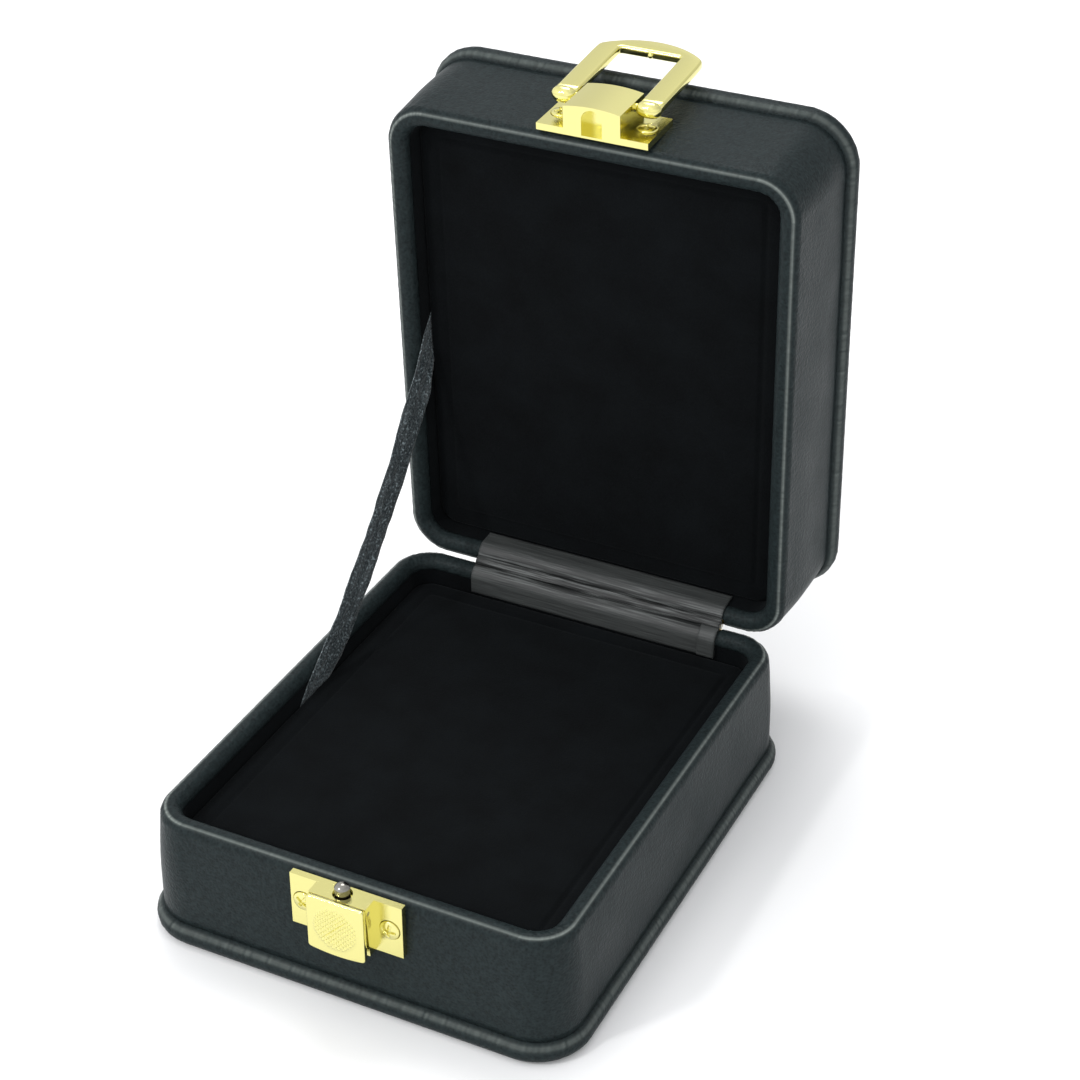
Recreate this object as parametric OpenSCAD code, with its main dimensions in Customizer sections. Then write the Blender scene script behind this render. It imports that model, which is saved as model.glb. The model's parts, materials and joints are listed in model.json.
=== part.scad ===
/* [Box] */
// Width over the side walls where they meet the bottom board
box_w = 78; // [60:1:120]
// Depth over the front and back walls where they meet the bottom board
box_d = 94.5; // [74:1:140]
// Height of the base, from what it stands on to the crest of its rim
base_h = 24.4; // [21:0.2:40]
// Height of the lid, from the crest of its rim to its flat top
lid_h = 24.4; // [21:0.2:40]
// Corner radius of the walls
corner_r = 8.4; // [7:0.2:14]
// How far each wall leans in on its way up to the rim
wall_lean = 0.8; // [0.2:0.1:1.5]
// Gap between the two rims when the box is shut
rim_gap = 0.4; // [0.3:0.1:0.8]

/* [Walls and rims] */
// Thickness of the moulded carcass walls
wall_t = 2.3; // [1.8:0.1:3]
// Thickness of the moulded carcass floor
floor_t = 1.6; // [1:0.1:3]
// Thickness of the padded leatherette on the walls
wrap_t = 0.8; // [0.5:0.1:1.2]
// How far the leatherette goes down inside the rim, below the roll
lip_below = 0.5; // [0.3:0.1:2]

/* [Boards] */
// How far the padded boards stand out past the walls
board_over = 1.4; // [0.8:0.1:3]
// Thickness of a covered board
board_t = 4.2; // [3.6:0.1:6]
// Thickness of the leatherette over the boards
cover_t = 0.7; // [0.5:0.1:1]

/* [Inserts] */
// How far the velvet pads lie below the rim's crest
pad_drop = 5; // [4.6:0.1:8]
// Thickness of the velvet, and of the leatherette's lip above it
velvet_t = 0.6; // [0.4:0.1:0.9]
// Thickness of the card under each pad
card_t = 1; // [0.6:0.1:2]

/* [Hinge] */
// Distance of the hinge to the right of the middle
hinge_x = 1.6; // [-4:0.1:4]
// Length of the hinge
hinge_len = 50; // [36:2:60]
// Angle that the lid is open
open_deg = 87; // [80:1:95]
// Distance of the hinge line in from the back wall
hinge_in = 1.5; // [1.3:0.1:2]
// Radius of the hinge knuckles
knuckle_r = 1.1; // [1:0.1:1.3]
// Radius of the hinge pin
hinge_pin_r = 0.55; // [0.45:0.05:0.6]
// Height of each hinge leaf
leaf_h = 9; // [6:0.5:12]
// Thickness of the hinge leaves
leaf_t = 0.5; // [0.4:0.05:0.7]
// Thickness of the leatherette strip over the hinge
strip_t = 0.4; // [0.3:0.05:0.5]

/* [Ribbon] */
// Width of the stay ribbon
ribbon_w = 6; // [4:0.5:10]
// Thickness of the stay ribbon, gathered
ribbon_t = 0.4; // [0.3:0.05:0.5]
// Where the ribbon leaves each side wall, measured from the middle of the depth
ribbon_y = 2; // [-10:0.5:10]
// How far the ribbon hangs below the straight line between its ends
ribbon_sag = 3.5; // [1:0.5:8]
// Length of ribbon glued behind the velvet at each end
ribbon_tab = 7; // [4:0.5:9]

/* [Lock and catch] */
// Distance of the lock and the catch to the right of the middle
lock_x = 1.4; // [-5:0.1:5]
// Height of the screwed plates
plate_h = 10.2; // [9.4:0.2:14]
// Thickness of the screwed plates
plate_t = 1.2; // [0.8:0.1:2]
// Width of the lock's housing and the catch's block
block_w = 10.4; // [9:0.2:13]
// How far the catch's block stands out from its plate
block_out = 3.95; // [3:0.05:5]
// Gap between a screw's head and the housing or block beside it
screw_clear = 0.8; // [0.3:0.1:2]
// How far a plate goes on past its screws' heads
plate_margin = 0.4; // [0.2:0.1:2]
// Radius of a screw's head
screw_head_r = 1.9; // [1.5:0.1:2.2]
// Radius of a screw's shank
screw_r = 0.9; // [0.7:0.05:1.1]
// Length of a screw under its head
screw_len = 3.6; // [3:0.1:4]
// Thickness of the button's plate
button_t = 0.8; // [0.6:0.1:1.2]
// Height of the button's plate
button_h = 10.4; // [9:0.2:12]
// How far the button rocks when it is pressed, in degrees
press_deg = 5; // [3:1:6]
// Radius of the lock's stud
stud_r = 1.3; // [1:0.05:1.6]
// How far the stud stands out of the housing
stud_out = 2.1; // [1.6:0.1:2.4]
// Radius of the button's pivot pin
button_pin_r = 0.4; // [0.3:0.05:0.5]

/* [Bail] */
// Gap between each leg of the bail and the catch's block
bail_clear = 0.5; // [0.3:0.1:1.5]
// Width of each leg of the bail
bail_leg_w = 4.1; // [3:0.1:5]
// Thickness of the bail
bail_t = 1.6; // [1.2:0.1:2]
// Length of the opening, from the pivot to the far bar
bail_open = 17.7; // [14:0.1:22]
// Width of the far bar at its middle
bail_bar = 3.9; // [3:0.1:5]
// How far the bail leans away from the wall, in degrees
bail_lean = 3; // [0:0.5:5]
// Radius of the bail's pivot pins
bail_pin_r = 0.6; // [0.4:0.05:0.7]

/* [Hidden] */
$fn = 48;

// Clearance round a turning pin, and between pieces that pass each other
run = 0.05;
slack = 0.25;
// How far a cut runs past the face that it opens
past = 1;

// Steps of the wall's section, as insets from the outline of the walls' foot
carcass_in = wall_lean + wrap_t;
liner_in = carcass_in + wall_t;
inside_in = liner_in + velvet_t;
insert_in = inside_in + 0.15;
// The rim's roll is two shoulders side by side
roll_r = (inside_in - wall_lean) / 2 - 0.05;
roll_out_u = -wall_lean - roll_r;
roll_in_u = -inside_in + roll_r;
lip_h = roll_r + lip_below;
floor_z = board_t + floor_t;

// The parting plane lies midway between the rims, and the hinge line lies in it
part_z = base_h + rim_gap / 2;
hinge_y = box_d / 2 - hinge_in;

// The screws stand beside the housing, and the plate reaches a little past them
screw_x = block_w / 2 + screw_clear + screw_head_r;
plate_w = 2 * (screw_x + screw_head_r + plate_margin);

// The lock's housing is a shell round the button's lever, as deep as the stud needs
cheek_t = 0.8;
roof_t = 0.5;
ring = 0.35;
front_web = 0.3;
back_web = 0.3;
housing_out = front_web + 2 * (stud_r + ring) + back_web - plate_t;

// Front faces of the wall's foot, of the plates and of what stands out from them.
// The plates are pressed into the padding at their lower edge.
plate_sunk = 0.25;
wall_y = -box_d / 2;
plate_y = wall_y + plate_sunk;
plate_face_y = plate_y - plate_t;
housing_y = plate_face_y - housing_out;
button_y = housing_y - button_t;
block_y = plate_face_y - block_out;

// The stud, the room behind it, and the button's pivot and lever
stud_y = housing_y + front_web + ring + stud_r;
cavity_y = stud_y + stud_r + ring;
ear_r = button_pin_r + 0.35;
pivot_y = housing_y + ear_r + 0.1;
pivot_z = base_h - roof_t - 0.1 - ear_r;
arm_top = base_h - roof_t - 0.35;
arm_t = 1.6;

// The bail's pivot, in the lid's half: below the rim's crest and out from the wall
bail_down = 6.2;
bail_y = block_y + bail_t / 2 + 0.1;
bail_in_w = block_w + 2 * bail_clear;
bail_w = bail_in_w + 2 * bail_leg_w;
boss_t = 2.2;

// ---- Shapes that both halves share ----

// Rounded rectangle of the walls' outline, brought in by inset
module outline(inset) {
    w = box_w - 2 * inset;
    d = box_d - 2 * inset;
    r = corner_r - inset;
    square([w, d - 2 * r], center = true);
    square([w - 2 * r, d], center = true);
    for (x = [-1, 1], y = [-1, 1])
        translate([x * (w / 2 - r), y * (d / 2 - r)]) circle(r);
}

// Rounded plate between two heights
module slab(inset, z0, z1) {
    translate([0, 0, z0]) linear_extrude(z1 - z0) outline(inset);
}

// Carries a section round the outline: x is how far out it is, y is its height
module round_the_box() {
    for (quarter = [0:3]) rotate(90 * quarter) {
        odd = quarter % 2;
        out = (odd ? box_d : box_w) / 2;
        half = (odd ? box_w : box_d) / 2 - corner_r;
        translate([out, half, 0]) rotate([90, 0, 0]) linear_extrude(2 * half) children();
        translate([out - corner_r, half, 0])
            rotate_extrude(angle = 90) translate([corner_r, 0]) children();
    }
}

// Section of the rim's roll, with a skin of the given thickness taken off it
module roll_section(h, off) {
    for (u = [roll_out_u, roll_in_u]) translate([u, h - roll_r]) circle(roll_r - off);
    translate([roll_in_u, h - roll_r]) square([roll_out_u - roll_in_u, roll_r - off]);
}

// Section of the leatherette on a wall: outer face, roll and inner lip
module wrap_section(h) {
    polygon([[0, board_t], [-wall_lean, h - roll_r],
             [-carcass_in, h - roll_r], [-carcass_in, board_t]]);
    difference() {
        roll_section(h, 0);
        roll_section(h, wrap_t);
        translate([-inside_in - past, h - 2 * roll_r - past])
            square([inside_in + 2 * past, roll_r + past]);
    }
    translate([-inside_in, h - lip_h]) square([velvet_t, lip_h - roll_r]);
}

// Room for the hinge's barrel in the rim, at the hinge line of a half of height h
module barrel_room(h) {
    translate([hinge_x, hinge_y, h + rim_gap / 2]) rotate([0, 90, 0])
        cylinder(r = knuckle_r + slack, h = hinge_len + 2 * slack, center = true);
}

// Room for a hinge leaf, let into the back of the carcass; out opens it backwards
module leaf_room(h, out) {
    translate([hinge_x - hinge_len / 2 - slack, box_d / 2 - carcass_in - leaf_t, h - leaf_h])
        cube([hinge_len + 2 * slack, leaf_t + out, leaf_h + past]);
}

// Where the screws go, on the axis of their heads
module at_screws(h) {
    for (x = [-1, 1])
        translate([lock_x + x * screw_x, plate_face_y, h - plate_h / 2])
            rotate([-90, 0, 0]) children();
}

module half_carcass(h) {
    difference() {
        union() {
            slab(carcass_in, board_t, floor_z);
            difference() {
                slab(carcass_in, board_t, h - roll_r);
                slab(liner_in, board_t, h);
            }
        }
        barrel_room(h);
        leaf_room(h, past);
        at_screws(h) cylinder(r = screw_r, h = screw_len);
    }
}

module half_wrap(h) {
    difference() {
        round_the_box() wrap_section(h);
        barrel_room(h);
        leaf_room(h, 0);
        at_screws(h) cylinder(r = screw_r, h = screw_len);
        // the hardware is pressed into the padded wall
        translate([lock_x - plate_w / 2, plate_y - past, h - plate_h])
            cube([plate_w, past, plate_h]);
    }
}

module half_bead(h) {
    difference() {
        round_the_box() intersection() {
            roll_section(h, wrap_t);
            translate([-inside_in, h - roll_r]) square([inside_in, roll_r]);
        }
        barrel_room(h);
        leaf_room(h, past);
    }
}

// Board's section near its edge, which is a half round, with a skin taken off it
cover_return = 4;
edge_r = board_t / 2;
middle_in = carcass_in + cover_return;
module edge_section(off) {
    edge_u = board_over - edge_r;
    translate([edge_u, edge_r]) intersection() {
        circle(edge_r - off);
        translate([0, -edge_r]) square(2 * edge_r);
    }
    translate([-middle_in, off]) square([edge_u + middle_in, board_t - 2 * off]);
}

// Board's core: its raised middle meets the carcass, inside the cover's return
module board_core() {
    round_the_box() edge_section(cover_t);
    slab(middle_in, cover_t, board_t);
}

module board_skin() {
    difference() {
        union() {
            round_the_box() edge_section(0);
            slab(middle_in, 0, board_t);
        }
        board_core();
    }
}

module half_liner(h) {
    difference() {
        slab(liner_in, floor_z, h - lip_h);
        slab(inside_in, floor_z - past, h);
    }
}

module half_card() {
    slab(insert_in, floor_z, floor_z + card_t);
}

module half_foam(h) {
    difference() {
        slab(insert_in + velvet_t, floor_z + card_t, h - pad_drop - velvet_t);
        ribbon_room(h);
    }
}

module half_velvet(h) {
    difference() {
        slab(insert_in, floor_z + card_t, h - pad_drop);
        slab(insert_in + velvet_t, floor_z, h - pad_drop - velvet_t);
        ribbon_room(h);
    }
}

// Cross-head screws: countersunk head, cross and shank
module screw() {
    difference() {
        union() {
            cylinder(r1 = screw_head_r, r2 = screw_r, h = screw_head_r - screw_r);
            cylinder(r = screw_r, h = screw_len);
        }
        for (turn = [0, 90]) rotate(turn) translate([-screw_head_r * 0.62, -0.22, -past])
            cube([screw_head_r * 1.24, 0.44, past + 0.5]);
    }
}

module screw_holes(h) {
    at_screws(h) {
        cylinder(r1 = screw_head_r, r2 = screw_r, h = screw_head_r - screw_r);
        cylinder(r = screw_r, h = screw_len);
    }
}

module plate(h) {
    translate([lock_x - plate_w / 2, plate_face_y, h - plate_h])
        cube([plate_w, plate_t, plate_h]);
}

// Rectangle of the given width and height whose lower edge bulges down by sag
module bulged(w, h, sag) {
    r = (w * w / 4 + sag * sag) / (2 * sag);
    intersection() {
        translate([-w / 2, -sag]) square([w, h + sag]);
        translate([0, r - sag]) circle(r, $fn = 96);
    }
}

// ---- The lid is a second half, turned over and opened about the hinge line ----

module open_lid() {
    translate([0, hinge_y, part_z]) rotate([-open_deg, 0, 0])
        translate([0, -hinge_y, -part_z]) children();
}

module lid_half() {
    open_lid() translate([0, 0, base_h + rim_gap + lid_h]) mirror([0, 0, 1]) children();
}

// ---- Hinge ----

knuckles = 5;
knuckle_step = hinge_len / knuckles;
knuckle_gap = 0.15;

// Knuckles of one leaf: the base has the odd ones, the lid the even ones
module knuckle_row(first, r, gap) {
    for (i = [first:2:knuckles - 1])
        translate([-hinge_len / 2 + i * knuckle_step + gap, 0, 0]) rotate([0, 90, 0])
            cylinder(r = r, h = knuckle_step - 2 * gap);
}

// Leaf below the hinge line, with its row of knuckles and the bore for the pin
module hinge_leaf(first, other, bore_r) {
    drop = leaf_h + rim_gap / 2;
    difference() {
        union() {
            translate([-hinge_len / 2 + knuckle_gap, hinge_in - carcass_in - leaf_t, -drop])
                cube([hinge_len - 2 * knuckle_gap, leaf_t, drop]);
            knuckle_row(first, knuckle_r, knuckle_gap);
        }
        knuckle_row(other, knuckle_r + slack, -knuckle_gap);
        translate([-hinge_len / 2 - past, 0, 0]) rotate([0, 90, 0])
            cylinder(r = bore_r, h = hinge_len + 2 * past);
    }
}

// Ring segment between two angles
module sector(r0, r1, a0, a1) {
    reach = 3 * r1;
    intersection() {
        difference() { circle(r1); circle(r0); }
        polygon([[0, 0], reach * [cos(a0), sin(a0)],
                 reach * [cos((a0 + a1) / 2), sin((a0 + a1) / 2)], reach * [cos(a1), sin(a1)]]);
    }
}

// Half of the strip's section, from the base's pad up over the rim to the hinge barrel.
// The section's origin is the hinge line.
strip_off = 0.05;
module strip_half() {
    face = hinge_in - inside_in - strip_off;
    roll_c = [hinge_in + roll_in_u, -rim_gap / 2 - roll_r];
    barrel_r = knuckle_r + strip_off;
    meet = 180 - open_deg / 2;
    translate([face - strip_t, 0.2 - pad_drop - rim_gap / 2])
        square([strip_t, pad_drop - 0.2 - roll_r]);
    translate(roll_c) sector(roll_r + strip_off, roll_r + strip_off + strip_t, 88, 180.5);
    sector(barrel_r, barrel_r + strip_t, meet - 0.5, 180);
}

// ---- Ribbon ----

// Where a point of the shut lid lies when the lid is open: [y, z] about the hinge line
function opened(p) = [p[0] * cos(open_deg) + p[1] * sin(open_deg),
                      -p[0] * sin(open_deg) + p[1] * cos(open_deg)];
tuck_z = pad_drop + rim_gap / 2;
ribbon_low = [ribbon_y - hinge_y, -tuck_z];
ribbon_high = opened([ribbon_y - hinge_y, tuck_z]);
ribbon_run = ribbon_high - ribbon_low;
ribbon_free = norm(ribbon_run);
ribbon_deg = atan2(ribbon_run[1], ribbon_run[0]);
ribbon_x = -box_w / 2 + inside_in + 0.05;

// The ribbon's band, which sags in one arc between its ends and is grown by a clearance.
// It starts at the point where it leaves the base, and runs on by tab at each end.
bow_r = (ribbon_free * ribbon_free / 4 + ribbon_sag * ribbon_sag) / (2 * ribbon_sag);
module ribbon_band(grow, tab) {
    half_deg = asin(ribbon_free / 2 / bow_r) + tab / bow_r * 180 / PI;
    half_w = ribbon_w / 2 + grow;
    translate([ribbon_x - grow, 0, 0]) rotate([ribbon_deg, 0, 0]) rotate([90, 0, 90])
        linear_extrude(ribbon_t + 2 * grow) translate([ribbon_free / 2, bow_r - ribbon_sag])
            sector(bow_r - half_w, bow_r + half_w, 270 - half_deg, 270 + half_deg);
}

module ribbon_room(h) {
    translate([0, ribbon_y, h - pad_drop]) ribbon_band(0.05, ribbon_tab + 0.5);
}

// ---- Base ----

black = [0.10, 0.11, 0.11];
gold = [0.90, 0.84, 0.50];

module base_carcass() { color([0.16, 0.16, 0.17]) half_carcass(base_h); }
module base_wall_wrap() { color(black) half_wrap(base_h); }
module base_rim_bead() { color([0.85, 0.85, 0.82]) half_bead(base_h); }
module base_board() { color([0.55, 0.50, 0.42]) board_core(); }
module base_board_cover() { color(black) board_skin(); }
module base_liner() { color([0.05, 0.06, 0.06]) half_liner(base_h); }
module base_insert_card() { color([0.75, 0.74, 0.70]) half_card(); }
module base_insert_foam() { color([0.90, 0.90, 0.88]) half_foam(base_h); }
module base_insert_velvet() { color([0.05, 0.06, 0.06]) half_velvet(base_h); }

// ---- Lid ----

module lid_carcass() { color([0.16, 0.16, 0.17]) lid_half() half_carcass(lid_h); }
module lid_wall_wrap() { color(black) lid_half() half_wrap(lid_h); }
module lid_rim_bead() { color([0.85, 0.85, 0.82]) lid_half() half_bead(lid_h); }
module lid_board() { color([0.55, 0.50, 0.42]) lid_half() board_core(); }
module lid_board_cover() { color(black) lid_half() board_skin(); }
module lid_liner() { color([0.05, 0.06, 0.06]) lid_half() half_liner(lid_h); }
module lid_insert_card() { color([0.75, 0.74, 0.70]) lid_half() half_card(); }
module lid_insert_foam() { color([0.90, 0.90, 0.88]) lid_half() half_foam(lid_h); }
module lid_insert_velvet() { color([0.05, 0.06, 0.06]) lid_half() half_velvet(lid_h); }

// ---- Hinge and ribbon ----

module at_hinge() { translate([hinge_x, hinge_y, part_z]) children(); }

module hinge_base_leaf() {
    color([0.78, 0.70, 0.42]) at_hinge() hinge_leaf(0, 1, hinge_pin_r);
}

module hinge_lid_leaf() {
    color([0.78, 0.70, 0.42]) at_hinge() rotate([-open_deg, 0, 0]) mirror([0, 0, 1])
        hinge_leaf(1, 0, hinge_pin_r + run);
}

module hinge_pin() {
    color([0.7, 0.7, 0.72]) at_hinge() rotate([0, 90, 0])
        cylinder(r = hinge_pin_r, h = hinge_len, center = true);
}

// Leatherette strip inside the hinge, as it lies with the lid open
module hinge_strip() {
    color([0.30, 0.31, 0.31]) at_hinge() translate([-hinge_len / 2, 0, 0]) rotate([90, 0, 90])
        linear_extrude(hinge_len) {
            strip_half();
            rotate(-open_deg) mirror([0, 1]) strip_half();
        }
}

module ribbon_stay() {
    color([0.22, 0.25, 0.27]) translate([0, ribbon_y, base_h - pad_drop])
        ribbon_band(0, ribbon_tab);
}

// ---- Lock, on the base ----

// Plate and housing in one casting, hollow for the button's lever
module lock_body() {
    color(gold) difference() {
        union() {
            plate(base_h);
            translate([lock_x - block_w / 2, housing_y, base_h - plate_h])
                cube([block_w, housing_out + plate_t / 2, plate_h]);
        }
        translate([lock_x - block_w / 2 + cheek_t, housing_y - past, base_h - plate_h - past])
            cube([block_w - 2 * cheek_t, cavity_y - housing_y + past, plate_h + past - roof_t]);
        // the front is cut back, so that the button can rock inwards
        translate([lock_x, pivot_y, pivot_z]) rotate([press_deg, 0, 0])
            translate([-block_w, -2 * housing_out - ear_r, -2 * plate_h])
                cube([2 * block_w, 2 * housing_out, 2 * plate_h]);
        translate([lock_x, stud_y, base_h - roof_t - past])
            cylinder(r = stud_r + ring, h = roof_t + 2 * past);
        button_pins_at() cylinder(r = button_pin_r, h = block_w);
        screw_holes(base_h);
    }
}

module lock_screws() { color(gold) at_screws(base_h) screw(); }

// The axis of the button's two stub pins, from the left cheek to the right one
module button_pins_at() {
    translate([lock_x - block_w / 2, pivot_y, pivot_z]) rotate([0, 90, 0]) children();
}

// Button's plate, with a bulged lower edge, the lever behind it, and an apron at each
// side that closes the gap to the housing
module lock_button() {
    lever_w = block_w - 2 * cheek_t - 2 * slack;
    apron_t = 0.6;
    apron_deep = 2.2;
    apron_low = base_h - plate_h + 0.3;
    color(gold) difference() {
        union() {
            translate([lock_x, button_y + button_t - 0.1, base_h - button_h])
                rotate([90, 0, 0]) linear_extrude(button_t) bulged(block_w, button_h, 0.5);
            translate([lock_x - lever_w / 2, button_y + button_t - 0.2, pivot_z - ear_r])
                cube([lever_w, pivot_y - button_y - button_t + 0.2, 2 * ear_r]);
            translate([lock_x - lever_w / 2, pivot_y, pivot_z]) rotate([0, 90, 0])
                cylinder(r = ear_r, h = lever_w);
            translate([lock_x - stud_r - 0.5, pivot_y, arm_top - arm_t])
                cube([2 * stud_r + 1, stud_y + stud_r - pivot_y, arm_t]);
            for (x = [-lever_w / 2, lever_w / 2 - apron_t])
                translate([lock_x + x, button_y + button_t - 0.2, apron_low])
                    cube([apron_t, apron_deep, pivot_z - apron_low]);
        }
        // the lever stays under the roof, and makes room for the stud
        translate([lock_x - block_w / 2, button_y + button_t, arm_top])
            cube([block_w, cavity_y - button_y, past]);
        translate([lock_x, stud_y, arm_top - arm_t - past])
            cylinder(r = stud_r * 0.6, h = arm_t + 2 * past);
        button_pins_at() cylinder(r = button_pin_r + run, h = block_w);
    }
}

// Steel stud: riveted neck, round shank and a bullet nose
module lock_stud() {
    shank = roof_t + 0.35 + 0.9;
    nose = stud_out - 0.9;
    color([0.62, 0.62, 0.60]) translate([lock_x, stud_y, arm_top]) {
        translate([0, 0, -arm_t]) cylinder(r = stud_r * 0.6, h = arm_t);
        cylinder(r = stud_r, h = shank);
        translate([0, 0, shank]) intersection() {
            translate([0, 0, nose - stud_r * 1.15]) sphere(stud_r * 1.15);
            cylinder(r = stud_r, h = 2 * stud_r);
        }
    }
}

module lock_pivot_pin() {
    color([0.62, 0.62, 0.60]) {
        button_pins_at() cylinder(r = button_pin_r, h = 2.4);
        button_pins_at() translate([0, 0, block_w - 2.4]) cylinder(r = button_pin_r, h = 2.4);
    }
}

// Bent leaf that pushes the button's lower half out
module lock_spring() {
    leaf = 0.3;
    high = pivot_z - 3;
    low = base_h - plate_h + 1.2;
    back = cavity_y - 0.05;
    front = button_y + button_t - 0.05;
    color([0.62, 0.62, 0.60]) translate([lock_x - 2, 0, 0]) rotate([90, 0, 90]) linear_extrude(4)
        polygon([[back, high], [back, high - 2], [front + leaf, low], [front, low],
                 [back - leaf, high - 2.2], [back - leaf, high]]);
}

// ---- Catch and bail, on the lid ----

block_h = 9.6;
pocket_depth = stud_out + 0.4;
pocket_w = 2 * stud_r + 1.2;

// Plate and block in one casting, with a blind arched pocket for the stud
module catch_body() {
    color(gold) lid_half() difference() {
        union() {
            plate(lid_h);
            translate([lock_x, plate_face_y + plate_t / 2, lid_h - block_h])
                linear_extrude(block_h) translate([0, -block_out - plate_t / 2])
                    bulged(block_w, block_out + plate_t / 2, 0.5);
        }
        translate([lock_x, stud_y, lid_h - pocket_depth]) linear_extrude(pocket_depth + past) {
            translate([-pocket_w / 2, block_y - stud_y + pocket_w / 2])
                square([pocket_w, stud_y - block_y - pocket_w / 2 + stud_r + slack]);
            translate([0, block_y - stud_y + pocket_w / 2]) circle(pocket_w / 2);
        }
        screw_holes(lid_h);
        bail_pins_at() cylinder(r = bail_pin_r, h = 4.4, center = true);
    }
}

module catch_screws() { color(gold) lid_half() at_screws(lid_h) screw(); }

// Each side of the block, on the bail's axis
module bail_pins_at() {
    for (x = [-1, 1])
        translate([lock_x + x * bail_in_w / 2, bail_y, lid_h - bail_down])
            rotate([0, 90, 0]) children();
}

// Flat bail: two legs with domed ends, and an arched far bar
module bail() {
    bar_r = (bail_w * bail_w / 4 + bail_bar * bail_bar) / (2 * bail_bar);
    color(gold) lid_half() difference() {
        translate([lock_x, bail_y, lid_h - bail_down]) rotate([-90 - bail_lean, 0, 0]) union() {
            translate([0, 0, -bail_t / 2]) linear_extrude(bail_t) difference() {
                union() {
                    translate([-bail_w / 2, 0]) square([bail_w, bail_open]);
                    intersection() {
                        translate([0, bail_open + bail_bar - bar_r]) circle(bar_r, $fn = 96);
                        translate([-bail_w / 2, bail_open]) square([bail_w, bail_bar]);
                    }
                }
                translate([-bail_in_w / 2, -past]) square([bail_in_w, bail_open + past]);
            }
            for (x = [-1, 1]) translate([x * (bail_in_w + bail_leg_w) / 2, 0, 0]) intersection() {
                sphere(bail_leg_w / 2);
                cube([bail_leg_w, bail_leg_w, boss_t], center = true);
            }
        }
        bail_pins_at() cylinder(r = bail_pin_r + run, h = 4.4, center = true);
    }
}

module bail_pins() {
    color([0.8, 0.76, 0.5]) lid_half() bail_pins_at() cylinder(r = bail_pin_r, h = 4.2, center = true);
}

base_carcass();
base_wall_wrap();
base_rim_bead();
base_board();
base_board_cover();
base_liner();
base_insert_card();
base_insert_foam();
base_insert_velvet();
lid_carcass();
lid_wall_wrap();
lid_rim_bead();
lid_board();
lid_board_cover();
lid_liner();
lid_insert_card();
lid_insert_foam();
lid_insert_velvet();
hinge_base_leaf();
hinge_lid_leaf();
hinge_pin();
hinge_strip();
ribbon_stay();
lock_body();
lock_screws();
lock_button();
lock_stud();
lock_pivot_pin();
lock_spring();
catch_body();
catch_screws();
bail();
bail_pins();
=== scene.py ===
import json
import math

import bpy
import numpy as np
from mathutils import Matrix, Vector, noise


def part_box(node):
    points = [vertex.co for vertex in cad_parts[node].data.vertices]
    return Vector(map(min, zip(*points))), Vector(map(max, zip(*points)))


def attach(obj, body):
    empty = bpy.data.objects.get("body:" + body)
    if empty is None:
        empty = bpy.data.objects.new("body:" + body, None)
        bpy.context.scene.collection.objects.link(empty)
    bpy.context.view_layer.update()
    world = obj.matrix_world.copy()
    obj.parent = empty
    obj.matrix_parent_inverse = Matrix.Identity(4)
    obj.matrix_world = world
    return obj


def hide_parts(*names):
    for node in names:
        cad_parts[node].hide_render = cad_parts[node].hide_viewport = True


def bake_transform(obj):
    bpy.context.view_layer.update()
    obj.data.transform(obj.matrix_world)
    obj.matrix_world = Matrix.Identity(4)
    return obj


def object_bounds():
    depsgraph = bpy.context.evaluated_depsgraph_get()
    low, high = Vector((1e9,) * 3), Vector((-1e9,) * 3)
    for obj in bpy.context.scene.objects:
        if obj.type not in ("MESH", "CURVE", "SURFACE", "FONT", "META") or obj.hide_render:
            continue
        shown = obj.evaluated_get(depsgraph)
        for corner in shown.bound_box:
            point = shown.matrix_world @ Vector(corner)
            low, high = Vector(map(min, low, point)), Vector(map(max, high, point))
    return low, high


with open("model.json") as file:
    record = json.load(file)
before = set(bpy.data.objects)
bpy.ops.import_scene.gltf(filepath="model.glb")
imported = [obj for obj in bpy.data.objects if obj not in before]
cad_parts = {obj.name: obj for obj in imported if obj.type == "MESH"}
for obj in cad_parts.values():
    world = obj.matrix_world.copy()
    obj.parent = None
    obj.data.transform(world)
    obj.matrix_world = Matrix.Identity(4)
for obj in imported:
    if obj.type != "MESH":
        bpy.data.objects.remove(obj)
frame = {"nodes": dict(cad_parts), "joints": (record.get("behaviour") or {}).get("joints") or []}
cad_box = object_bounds()
MM = 0.001

# ---- Camera ----
# It stands in front of the open box, to its right and above it, far enough back for a
# short telephoto lens, and aims at the space between the base and the raised lid.
joints = {joint["name"]: joint for joint in frame["joints"]}
hinge = Vector(joints["lid_hinge"]["pos_m"])
hinge.x = 0
camera_turn = math.radians(26.07)
camera_rise = math.radians(32.6)
camera_distance = 431.6 * MM
aim = hinge + Vector((-0.62, -17.8, 20.56)) * MM
back_to_camera = Vector((math.sin(camera_turn) * math.cos(camera_rise),
                         -math.cos(camera_turn) * math.cos(camera_rise),
                         math.sin(camera_rise)))
camera = bpy.data.objects.new("camera", bpy.data.cameras.new("camera"))
bpy.context.scene.collection.objects.link(camera)
camera.location = aim + back_to_camera * camera_distance
camera.rotation_mode = "QUATERNION"
camera.rotation_quaternion = (-back_to_camera).to_track_quat("-Z", "Y")
camera.data.sensor_width = 36
camera.data.lens = 81.2
camera.data.shift_x = -0.0051
camera.data.shift_y = 0.0031
camera.data.clip_start = 0.01
bpy.context.scene.camera = camera


# ---- Studio ----
# A white table under a white tent. A soft lamp hangs over the back of the box, and a smaller,
# stronger one stands in front at the left, so that rims and metal edges catch a highlight.
def linear(code, alpha=1.0):
    """Linear colour of an sRGB hex value such as "e0d995"."""
    shares = [int(code[i:i + 2], 16) / 255 for i in (0, 2, 4)]
    return [s / 12.92 if s <= 0.04045 else ((s + 0.055) / 1.055) ** 2.4 for s in shares] + [alpha]


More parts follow.
